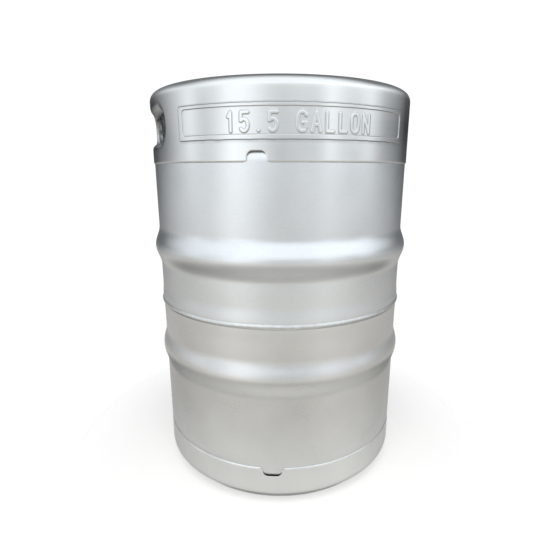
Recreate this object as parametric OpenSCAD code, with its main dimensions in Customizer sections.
// Stainless steel beer keg, 15.5 gallon size, with a spear valve.
// The origin is on the floor under the middle of the keg and +Z is up.
// Angles are measured from the front (-Y) towards +X, in degrees.

/* [Body] */
// Outer radius of the straight body
body_r = 197; // [195:0.5:198]
// Height of the keg from the floor to the top of the rim
keg_h = 592; // [588:1:600]
// Sheet thickness of the two body halves
shell_t = 1.5; // [1.2:0.1:1.8]
// Height of the weld that joins the two halves
girth_z = 282.4; // [280:0.2:288]
// How far the upper half flares out at that weld
upper_flare = 1.5; // [0.5:0.1:2]
// How far the lower half flares out at that weld
lower_flare = 0.5; // [0.2:0.1:1]
// How far the lower half steps in under the bottom chime
heel_step = 1; // [0.8:0.1:1.4]
// Height where the top dome starts to curve in
shoulder_z = 494.3; // [494:0.1:499]
// Height where the bottom dome starts to curve in
heel_z = 60; // [57:0.5:61]
// Depth of each dome
dome_h = 42; // [40:1:46]
// Radius of the bend between a dome and the straight wall
knuckle_r = 25; // [23:1:30]

/* [Rolling ribs] */
// Height of the upper rib's middle
upper_rib_z = 369.8; // [360:0.2:380]
// How far the upper rib stands out
upper_rib_h = 7.5; // [5:0.1:9]
// Half of the upper rib's height along the wall
upper_rib_w = 30; // [24:1:36]
// Height of the lower rib's middle
lower_rib_z = 203.6; // [195:0.2:212]
// How far the lower rib stands out
lower_rib_h = 5.6; // [4:0.1:9]
// Half of the lower rib's height along the wall
lower_rib_w = 29; // [24:1:36]

/* [Welds] */
// How far the girth weld's crown stands out
girth_crown = 0.7; // [0.4:0.1:1]
// Half of the girth weld crown's height along the wall
girth_half = 4.2; // [3:0.1:6]
// Height of the fillet welds at the chimes' edges
fillet = 2.6; // [1.5:0.1:3]
// Width of the butt welds that close the chimes' strips
seam_w = 5; // [3:0.5:8]
// How far those butt welds stand out
seam_rise = 0.35; // [0.2:0.05:0.8]

/* [Top chime] */
// Sheet thickness of both chimes
chime_t = 1.3; // [1.2:0.1:1.8]
// Height of the top chime's lower edge
top_chime_z = 493.7; // [490:0.1:495]
// Outer radius of the rolled rim's bead
bead_r = 13; // [10:0.5:15]
// How far round the bead's sheet is rolled
bead_roll = 215; // [190:5:240]

/* [Hand holes] */
// Clear width of a hand hole
hole_w = 128; // [110:1:134]
// Clear height of a hand hole
hole_h = 39; // [30:1:40]
// Height of the hand holes' middle
hole_z = 540.5; // [538:0.5:543]
// Depth of the turned-in lip round a hand hole
hole_lip = 10; // [6:0.5:14]

/* [Name panel] */
// Angle of the panel's middle
panel_angle = -12.4; // [-30:0.1:30]
// Angle that the panel spans
panel_sweep = 95.8; // [60:0.2:100]
// Height of the panel's lower edge
panel_z0 = 519; // [510:0.1:525]
// Height of the panel's upper edge
panel_z1 = 559.8; // [550:0.1:570]
// Width of the raised border at the panel's ends
border_end = 6.4; // [3:0.1:8]
// Width of the border along the panel's lower edge
border_low = 5.6; // [3:0.1:8]
// Width of the border along the panel's upper edge
border_high = 3.8; // [3:0.1:8]
// How far the border stands out
border_rise = 0.8; // [0.4:0.1:1.5]

/* [Drain notches] */
// Number of notches in each chime
notches = 4; // [2:1:6]
// Width of a notch in the top chime
top_notch_w = 24; // [20:0.5:34]
// Height of a notch in the top chime
top_notch_h = 12.4; // [10:0.1:15]
// Corner radius of a notch in the top chime
top_notch_r = 7.2; // [4:0.1:9]
// Angle of the first top notch
top_notch_angle = -28.2; // [-40:0.1:-20]
// Width of a notch in the bottom chime
bottom_notch_w = 28.4; // [20:0.2:34]
// Height of a notch in the bottom chime
bottom_notch_h = 11.4; // [10:0.1:15]
// Corner radius of a notch in the bottom chime
bottom_notch_r = 8; // [4:0.5:9]
// Angle of the first bottom notch
bottom_notch_angle = -23.2; // [-40:0.1:-20]

/* [Bottom chime] */
// Height of the bottom chime's upper edge
bottom_chime_z = 62.2; // [61.5:0.1:63.4]
// Height where the foot starts to curve in
foot_top = 27.3; // [24:0.1:30]
// Radius of that bend
foot_bend = 15; // [12:0.5:20]
// Angle between the foot's slope and the straight wall
foot_slope = 42.6; // [38:0.2:46]
// Radius of the bend between the slope and the flat ring
foot_toe = 6; // [4:0.5:8]
// Width of the flat ring that stands on the floor
foot_flat = 8; // [5:0.5:12]
// Radius of the curl inside that ring
foot_curl = 8; // [6:0.5:10]

/* [Neck and spear] */
// Outer radius of the neck
neck_r = 29.5; // [29:0.1:31]
// Drop from the rim to the top of the neck
neck_drop = 16; // [14:0.5:18]
// Radius of the coupler's bore between the bayonet lugs
lug_r = 19.5; // [19:0.1:20]
// Angle of each of the two bayonet cut-outs
lug_gap = 34; // [28:1:40]
// Outer radius of the down tube
tube_r = 8.25; // [7.5:0.05:8.5]
// Wall of the down tube
tube_t = 0.8; // [0.6:0.1:1]
// Gap between the down tube and the bottom dome
tube_gap = 12; // [10:0.5:16]
// Radius of the beer valve ball
ball_r = 9.5; // [9.3:0.05:9.6]

/* [Hidden] */
$fn = 96;

fit_gap = 0.05;           // gap between pieces that are fitted or welded together
run_gap = 0.08;           // radial gap where a piece slides
cut = 30;                 // how far cutting shapes run past a wall
over = 1;                 // how far bores run past a face
girth_root = 1;           // half of the gap that the girth weld fills
weld_lift = 0.02;         // gap between a weld's crown and the sheet under it
chime_r0 = body_r + fit_gap;
chime_r1 = chime_r0 + chime_t;
heel_r = body_r - heel_step;
foot_r0 = heel_r + fit_gap;
foot_r1 = foot_r0 + chime_t;
toe_r = foot_r1 - (foot_bend - foot_toe) * (1 - cos(foot_slope)) - foot_toe
    - tan(foot_slope) * (foot_top - foot_toe - (foot_bend - foot_toe) * sin(foot_slope));
curl_r = toe_r - foot_flat;
curl_lip = 4;             // straight part above the foot's curl
flare_h = 26;             // height over which the halves flare out at the girth weld
bead_z = keg_h - bead_r;
bead_mid = chime_r1 - bead_r;
seam_angle = 168;         // where the chimes' butt welds are, at the back
weld_clear = 3;           // how far the fillet welds stop from a notch
heel_rise = [6, 10];      // heights over heel_z between which the heel steps out
steps = 8;                // segments in each bend of a body half
rib_steps = 16;

// Heights of the neck and the spear, from the top of the neck down
neck_z = keg_h - neck_drop;
ring_z = neck_z - 6.5;            // underside of the retaining ring
ring_h = 2;
flange_z = neck_z - 18;           // underside of the spear body's flange
gasket_h = 2;
well_z = neck_z - 15;             // floor level of the well under the lugs
seat_z = neck_z - 27;             // underside of the gas valve's seat
seat_r = 15;
seat_face_r = 18.2;               // outer edge of the seat's flat face
skirt_z = neck_z - 46;            // bottom of the spear body
neck_foot_z = shoulder_z + dome_h - 12;
neck_chamfer = 1.5;
neck_fillet = 4;                  // leg of the weld round the neck
seat_bore = 26.5;                 // bore of the neck over the spear's flange
mouth_chamfer = 0.8;
groove_r = 28;                    // bottom of the retaining ring's groove
groove_play = 0.1;
ring_r0 = 24.4;
ring_r1 = 27.9;
ring_gap = 26;                    // angle between the retaining ring's ends
flange_r = 26.3;
flange_edge = 0.7;                // chamfers on the spear's flange
face_gap = 0.02;                  // gap between faces that are clamped together
skirt_r = 20.9;                   // outside of the spear body's skirt
skirt_bore = 18.9;
skirt_h = 8;
lug_h = 4.5;                      // height of the bayonet lugs
well_drop = 6.5;                  // from the well's floor to the foot of its wall
seat_h = 3.4;                     // height of the gas valve's throat
seat_relief = 3;                  // height of the cone round the seat's flat face
cup_z = neck_z - 98;              // underside of the spring cup
cup_h = 4;
cage_r = 20.2;
cage_t = 1.2;
cage_ledge = [17.6, 1.5];         // inner radius and height of the ledge under the cup
cup_r = 18.9;

// The seal, head and ball, from the seat down
seal_h = 6.6;
washer_h = 1.2;
head_flange_z = seat_z - seal_h - washer_h - 2.4;
seal_r = 17.6;
seal_bore = 8.5;                  // the ball closes on this edge
seal_edge_z = seat_z - 2;
head_r = 12;
head_wall = 1.5;                  // wall of the head's socket round the down tube
ball_z = seal_edge_z - sqrt(pow(ball_r, 2) - pow(seal_bore, 2)) - 0.1;
seat_washer_z = ball_z - ball_r - 9.2;
head_foot_z = seat_washer_z - 8;
spring_seat_h = 1.5;
tube_foot_z = heel_z - dome_h + shell_t + tube_gap;
well_r = lug_r + 2;               // well under the bayonet lugs
neck_bore = 22.5;                 // narrow part of the neck
spear_r = 22.3;
chamber_r = 20.4;

// ---- outlines ----

function bump(z, mid, high, half) =
    abs(z - mid) < half ? high * (1 + cos(180 * (z - mid) / half)) / 2 : 0;

// Radius of the domed end's crown, and its edge's angle from the axis, on a wall of radius r
function crown_r(r) = (pow(r - knuckle_r, 2) + pow(dome_h, 2) - pow(knuckle_r, 2))
    / (2 * (dome_h - knuckle_r));
function crown_edge(r) = atan2(r - knuckle_r, crown_r(r) - dome_h);

// Flare towards the girth weld, from its edge at z0 and away from it
function flare_points(z0, up, high, inset) = [for (i = [0 : steps])
    [body_r - inset + high * (1 + cos(180 * i / steps)) / 2, z0 + up * flare_h * i / steps]];

function rib_points(mid, high, half, inset) =
    [for (i = [0 : rib_steps])
        let (z = mid - half + 2 * half * i / rib_steps)
        [body_r - inset + bump(z, mid, high, half), z]];

// Dome outline from a straight wall of radius r to the angle a_end from the axis
function dome_points(r, base, up, inset, a_end) = concat(
    [for (i = [0 : steps - 1])
        let (a = (90 - crown_edge(r)) * i / steps)
        [r - knuckle_r + (knuckle_r - inset) * cos(a), base + up * (knuckle_r - inset) * sin(a)]],
    [for (i = [0 : steps])
        let (a = crown_edge(r) + (a_end - crown_edge(r)) * i / steps,
            up_r = crown_r(r) - inset)
        [up_r * sin(a), base + up * (dome_h - crown_r(r) + up_r * cos(a))]]);

function backwards(list) = [for (i = [len(list) - 1 : -1 : 0]) list[i]];

function upper_side(inset) = concat(
    flare_points(girth_z + girth_root, 1, upper_flare, inset),
    rib_points(upper_rib_z, upper_rib_h, upper_rib_w, inset),
    dome_points(body_r, shoulder_z, 1, inset, asin((neck_r + fit_gap) / (crown_r(body_r) - inset))));

function lower_side(inset) = concat(
    backwards(dome_points(heel_r, heel_z, -1, inset, 0)),
    [[heel_r - inset, heel_z + heel_rise[0]], [body_r - inset, heel_z + heel_rise[1]]],
    rib_points(lower_rib_z, lower_rib_h, lower_rib_w, inset),
    backwards(flare_points(girth_z - girth_root, -1, lower_flare, inset)));

// Bend, slope and toe of the foot, from the top down
function foot_side(inset) = concat(
    [for (i = [0 : steps])
        let (a = foot_slope * i / steps)
        [foot_r1 - foot_bend + (foot_bend - inset) * cos(a),
         foot_top - (foot_bend - inset) * sin(a)]],
    [for (i = [0 : steps])
        let (a = foot_slope + (90 - foot_slope) * i / steps)
        [toe_r + (foot_toe - inset) * cos(a), foot_toe - (foot_toe - inset) * sin(a)]]);

module at_angle(a) { rotate([0, 0, a]) children(); }

module round_all(points) { rotate_extrude() polygon(points); }

// Part of a ring, from angle a0 to angle a1, with a rectangular section
module arc_band(r0, r1, z0, z1, a0, a1) {
    rotate_extrude(angle = a1 - a0, start = a0 - 90)
        translate([r0, z0]) square([r1 - r0, z1 - z0]);
}

// ---- body ----

module shell_upper() {
    color("lightsteelblue") round_all(concat(upper_side(0), backwards(upper_side(shell_t))));
}

module shell_lower() {
    color("lightsteelblue") round_all(concat(lower_side(0), backwards(lower_side(shell_t))));
}

module girth_bead() {
    root = girth_root - fit_gap;
    inside = body_r - shell_t - 0.3;
    upper = body_r + upper_flare + weld_lift;
    lower = body_r + lower_flare + weld_lift;
    rise = (upper - lower) / (girth_half + girth_root);
    color("silver") round_all(concat(
        [[inside, girth_z - root], [lower, girth_z - root]],
        [for (i = [0 : steps])
            let (z = girth_z - girth_half + 2 * girth_half * i / steps)
            [min(upper, lower + rise * (z - girth_z + girth_half)) + 0.06
                + bump(z, girth_z, girth_crown, girth_half), z]],
        [[upper, girth_z + girth_half], [upper, girth_z + root], [inside, girth_z + root]]));
}

// Three-sided weld in the corner on a wall of radius r at height z, open at the notches
module edge_fillet(r, z, up, first_notch, notch_w) {
    pitch = 360 / notches;
    gap = 2 * asin((notch_w / 2 + weld_clear) / r);
    color("silver") for (i = [0 : notches - 1])
        rotate_extrude(angle = pitch - gap, start = first_notch + pitch * i + gap / 2 - 90)
            polygon([[r, z], [r + chime_t * 0.7, z], [r, z + up * fillet]]);
}

// Butt weld that closes a chime of outer radius r
module butt_seam(r, z0, z1) {
    half = asin(seam_w / 2 / r);
    color("silver") arc_band(r + weld_lift, r + seam_rise, z0, z1,
        seam_angle - half, seam_angle + half);
}

// ---- chimes ----

// Slot of the given outline with full round ends, centred, along X
module obround(w, h) {
    square([w - h, h], center = true);
    for (side = [-1, 1]) translate([side * (w - h) / 2, 0]) circle(h / 2);
}

// Notch that starts at the origin and runs up, with two round top corners
module notch_outline(w, h, r) {
    translate([-w / 2, -cut]) square([w, h - r + cut]);
    translate([r - w / 2, -cut]) square([w - 2 * r, h + cut]);
    for (side = [-1, 1]) translate([side * (w / 2 - r), h - r]) circle(r);
}

module notch_cutters(z, up, first, w, h, r) {
    for (i = [0 : notches - 1]) at_angle(first + 360 / notches * i)
        translate([0, cut - body_r, z]) rotate([90, 0, 0]) linear_extrude(2 * cut)
            scale([1, up]) notch_outline(w, h, r);
}

// Sheet section of the rolled rim: part of a ring, rolled in from the outside
module bead_section() {
    difference() {
        circle(bead_r);
        circle(bead_r - chime_t);
        polygon([[0, 0], [cut * cos(bead_roll), cut * sin(bead_roll)],
            [0, -2 * cut], [2 * cut, -2 * cut], [2 * cut, 0]]);
    }
}

module panel_border() {
    half = panel_sweep / 2;
    end = border_end / chime_r1 * 180 / PI;
    r0 = chime_r1 - chime_t / 3;
    r1 = chime_r1 + border_rise;
    at_angle(panel_angle) difference() {
        arc_band(r0, r1, panel_z0, panel_z1, -half, half);
        arc_band(r0 - over, r1 + over, panel_z0 + border_low, panel_z1 - border_high,
            end - half, half - end);
    }
}

// Blocks that the hand holes are cut through, which leaves a turned-in lip round each
module hole_blocks() {
    for (side = [-1, 1]) at_angle(side * 90) intersection() {
        translate([0, hole_lip - chime_r1, hole_z]) rotate([90, 0, 0]) linear_extrude(2 * cut)
            obround(hole_w + 2 * chime_t, hole_h + 2 * chime_t);
        cylinder(r = chime_r1 - chime_t / 2, h = keg_h);
    }
}

module chime_top() {
    color("gainsboro") difference() {
        union() {
            rotate_extrude() {
                translate([chime_r0, top_chime_z]) square([chime_t, bead_z - top_chime_z]);
                translate([bead_mid, bead_z]) bead_section();
            }
            panel_border();
            hole_blocks();
        }
        for (side = [-1, 1]) at_angle(side * 90)
            translate([0, 2 * cut - body_r, hole_z]) rotate([90, 0, 0])
                linear_extrude(3 * cut) obround(hole_w, hole_h);
        notch_cutters(top_chime_z, 1, top_notch_angle, top_notch_w, top_notch_h, top_notch_r);
    }
}

// The foot's curl and its short lip, inset from the outside, from the lip's top down
function curl_side(inset) = concat([[curl_r - foot_curl + inset, foot_curl + curl_lip]],
    [for (i = [0 : steps])
        let (a = 180 + 90 * i / steps)
        [curl_r + (foot_curl - inset) * cos(a), foot_curl + (foot_curl - inset) * sin(a)]]);

module chime_bottom() {
    color("gainsboro") difference() {
        round_all(concat([[foot_r1, bottom_chime_z]], foot_side(0), backwards(curl_side(0)),
            curl_side(chime_t), backwards(foot_side(chime_t)), [[foot_r0, bottom_chime_z]]));
        notch_cutters(bottom_chime_z, -1, bottom_notch_angle, bottom_notch_w, bottom_notch_h,
            bottom_notch_r);
    }
}

// ---- neck ----

module neck_fitting() {
    color("silver") round_all([
        [neck_bore, neck_foot_z], [neck_r - 2 * neck_chamfer, neck_foot_z],
        [neck_r, neck_foot_z + 2 * neck_chamfer], [neck_r, neck_z - neck_chamfer],
        [neck_r - neck_chamfer, neck_z], [seat_bore + mouth_chamfer, neck_z],
        [seat_bore, neck_z - mouth_chamfer], [seat_bore, ring_z + ring_h + groove_play],
        [groove_r, ring_z + ring_h + groove_play], [groove_r, ring_z - groove_play],
        [seat_bore, ring_z - groove_play], [seat_bore, flange_z - gasket_h],
        [neck_bore, flange_z - gasket_h]]);
}

module neck_bead() {
    crown = crown_r(body_r);
    centre_z = shoulder_z + dome_h - crown;
    r0 = neck_r + fit_gap;
    r1 = r0 + neck_fillet;
    z0 = centre_z + sqrt(pow(crown, 2) - pow(r0, 2)) + fit_gap;
    z1 = centre_z + sqrt(pow(crown, 2) - pow(r1, 2)) + fit_gap;
    color("silver") round_all([[r0, z0], [r1, z1],
        for (i = [1 : 3]) [r1 - neck_fillet * sin(30 * i), z0 + neck_fillet * (1 - cos(30 * i))]]);
}

module gasket() {
    color("dimgray") round_all([[neck_bore + 2 * groove_play, flange_z - gasket_h + face_gap],
        [flange_r, flange_z - gasket_h + face_gap], [flange_r, flange_z - face_gap],
        [neck_bore + 2 * groove_play, flange_z - face_gap]]);
}

module locking_ring() {
    color("silver") arc_band(ring_r0, ring_r1, ring_z, ring_z + ring_h,
        ring_gap / 2, 360 - ring_gap / 2);
}

// ---- spear ----

module spear() {
    top_z = ring_z - fit_gap;
    color("silver") difference() {
        round_all([
            [lug_r, top_z - lug_h], [lug_r, top_z - flange_edge], [lug_r + flange_edge, top_z],
            [flange_r - flange_edge, top_z], [flange_r, top_z - flange_edge],
            [flange_r, flange_z], [spear_r, flange_z], [spear_r, skirt_z + skirt_h],
            [skirt_r, skirt_z + skirt_h], [skirt_r, skirt_z], [skirt_bore, skirt_z],
            [skirt_bore, skirt_z + skirt_h - 2], [chamber_r, skirt_z + skirt_h],
            [chamber_r, seat_z - seat_relief], [seat_face_r, seat_z], [seat_r, seat_z],
            [seat_r, seat_z + seat_h], [well_r, well_z - well_drop], [well_r, top_z - lug_h]]);
        for (side = [0, 1]) at_angle(180 * side)
            arc_band(lug_r - over, well_r, top_z - lug_h - over, top_z + over,
                -lug_gap / 2, lug_gap / 2);
    }
}

module cage() {
    windows = 4;
    window_w = 15;
    window_margin = 6;
    grip = 5;                     // how far the cage reaches over the spear body's skirt
    r0 = skirt_r + fit_gap;
    inside = cage_r - cage_t;
    z0 = cup_z - cage_ledge[1] - 2 * fit_gap;
    color("silver") difference() {
        round_all([
            [cage_ledge[0], z0], [cage_r, z0], [cage_r, skirt_z - 3], [r0 + cage_t, skirt_z],
            [r0 + cage_t, skirt_z + grip], [r0, skirt_z + grip], [r0, skirt_z - fit_gap],
            [inside, skirt_z - 3], [inside, cup_z - fit_gap], [cage_ledge[0], cup_z - fit_gap]]);
        for (i = [0 : windows - 1]) at_angle(45 + 360 / windows * i)
            translate([0, -window_w, (cup_z + cup_h + skirt_z) / 2]) rotate([90, 0, 0])
                linear_extrude(window_w) rotate(90)
                    obround(skirt_z - cup_z - cup_h - 2 * window_margin, window_w);
    }
}

module lower_guide() {
    holes = 6;
    hole_r = 1.8;
    color("silver") difference() {
        translate([0, 0, cup_z]) cylinder(r = cup_r, h = cup_h);
        translate([0, 0, cup_z - over]) cylinder(r = tube_r + run_gap, h = cup_h + 2 * over);
        for (i = [0 : holes - 1]) at_angle(360 / holes * i)
            translate([0, -12, cup_z - over]) cylinder(r = hole_r, h = cup_h + 2 * over, $fn = 32);
    }
}

// Wire of radius w wound on radius r between heights z0 and z1
module coil(r, w, z0, z1, turns) {
    sides = 8;
    per_turn = 20;
    rings = turns * per_turn;
    points = [for (i = [0 : rings], k = [0 : sides - 1])
        let (a = 360 * i / per_turn, b = 360 * k / sides,
            z = z0 + w + (z1 - z0 - 2 * w) * i / rings)
        [(r + w * cos(b)) * cos(a), (r + w * cos(b)) * sin(a), z + w * sin(b)]];
    faces = concat(
        [for (i = [0 : rings - 1], k = [0 : sides - 1])
            [i * sides + k, i * sides + (k + 1) % sides,
                (i + 1) * sides + (k + 1) % sides, (i + 1) * sides + k]],
        [[for (k = [sides - 1 : -1 : 0]) k]],
        [[for (k = [0 : sides - 1]) rings * sides + k]]);
    color("lightgray") polyhedron(points, faces);
}

module main_spring() {
    wire = 1.1;
    coil_r = 15.2;
    coil(coil_r, wire, cup_z + cup_h + fit_gap, head_flange_z - fit_gap, 7);
}

module seal() {
    edge = 0.6;                   // chamfers of the moulding
    nose = 2.2;                   // how far the seal reaches up into the throat
    z0 = seat_z - seal_h;
    bore = head_r + 2 * fit_gap;
    ledge_z = seal_edge_z - 1.4;  // face that rests on the tube head's rim
    color("dimgray") round_all([
        [bore, z0], [seal_r - edge, z0], [seal_r, z0 + edge], [seal_r, seat_z - edge - fit_gap],
        [seal_r - edge, seat_z - fit_gap], [seat_r - edge, seat_z - fit_gap],
        [seat_r - edge - 1, seat_z + nose - edge], [seat_r - edge - 2, seat_z + nose],
        [seal_bore + edge, seat_z + nose], [seal_bore, seat_z + nose - edge],
        [seal_bore, seal_edge_z], [head_r - 1, ledge_z], [bore, ledge_z]]);
}

module washer() {
    z1 = seat_z - seal_h - face_gap;
    color("silver") translate([0, 0, z1 - washer_h]) difference() {
        cylinder(r = seal_r - 0.2, h = washer_h);
        translate([0, 0, -over]) cylinder(r = head_r + 2 * fit_gap, h = washer_h + 2 * over);
    }
}

module head() {
    top_z = seal_edge_z - 1.6;
    flange_top = seat_z - seal_h - washer_h - fit_gap;
    flange_out = seal_r - 0.4;
    inner = ball_r + 0.7;
    socket = tube_r + fit_gap;
    stop_r = socket - 1.2;        // ledge over the down tube's end
    stop_z = seat_washer_z - 2;
    color("silver") round_all([
        [inner, seat_washer_z], [inner, top_z], [head_r, top_z], [head_r, flange_top],
        [flange_out, flange_top], [flange_out, head_flange_z], [head_r, head_flange_z],
        [head_r, stop_z + 1], [socket + head_wall, stop_z - 2],
        [socket + head_wall, head_foot_z], [socket, head_foot_z], [socket, stop_z],
        [stop_r, stop_z], [stop_r, seat_washer_z]]);
}

module tube() {
    color("silver") translate([0, 0, tube_foot_z]) difference() {
        cylinder(r = tube_r, h = seat_washer_z - 2 - fit_gap - tube_foot_z);
        translate([0, 0, -over]) cylinder(r = tube_r - tube_t, h = keg_h);
    }
}

module ball() {
    color("silver") translate([0, 0, ball_z]) sphere(ball_r);
}

module small_spring() {
    wire = 0.35;
    coil_r = 5.6;
    z0 = seat_washer_z + spring_seat_h + 2 * fit_gap;
    z1 = ball_z - sqrt(pow(ball_r + wire, 2) - pow(coil_r, 2)) + wire - fit_gap;
    coil(coil_r, wire, z0, z1, 3);
}

module spring_seat() {
    holes = 5;
    hole_r = 1.2;
    hub_r = 3.2;
    color("silver") translate([0, 0, seat_washer_z + fit_gap]) difference() {
        cylinder(r = ball_r + 0.6, h = spring_seat_h);
        translate([0, 0, -over]) cylinder(r = hub_r, h = spring_seat_h + 2 * over);
        for (i = [0 : holes - 1]) at_angle(360 / holes * i)
            translate([0, -8, -over]) cylinder(r = hole_r, h = spring_seat_h + 2 * over, $fn = 32);
    }
}

shell_upper();  // upper_shell
shell_lower();  // lower_shell
girth_bead();  // girth_weld
chime_top();  // top_chime
edge_fillet(chime_r0, top_chime_z, -1, top_notch_angle, top_notch_w);  // top_chime_weld
butt_seam(chime_r1, top_chime_z, bead_z);  // top_chime_seam
chime_bottom();  // bottom_chime
edge_fillet(foot_r0, bottom_chime_z, 1, bottom_notch_angle, bottom_notch_w);  // bottom_chime_weld
butt_seam(foot_r1, foot_top, bottom_chime_z);  // bottom_chime_seam
neck_fitting();  // neck
neck_bead();  // neck_weld
gasket();  // neck_gasket
locking_ring();  // retaining_ring
spear();  // spear_body
cage();  // spring_cage
lower_guide();  // spring_cup
main_spring();  // gas_spring
seal();  // valve_seal
washer();  // seal_washer
head();  // tube_head
tube();  // down_tube
ball();  // valve_ball
small_spring();  // ball_spring
spring_seat();  // ball_spring_seat
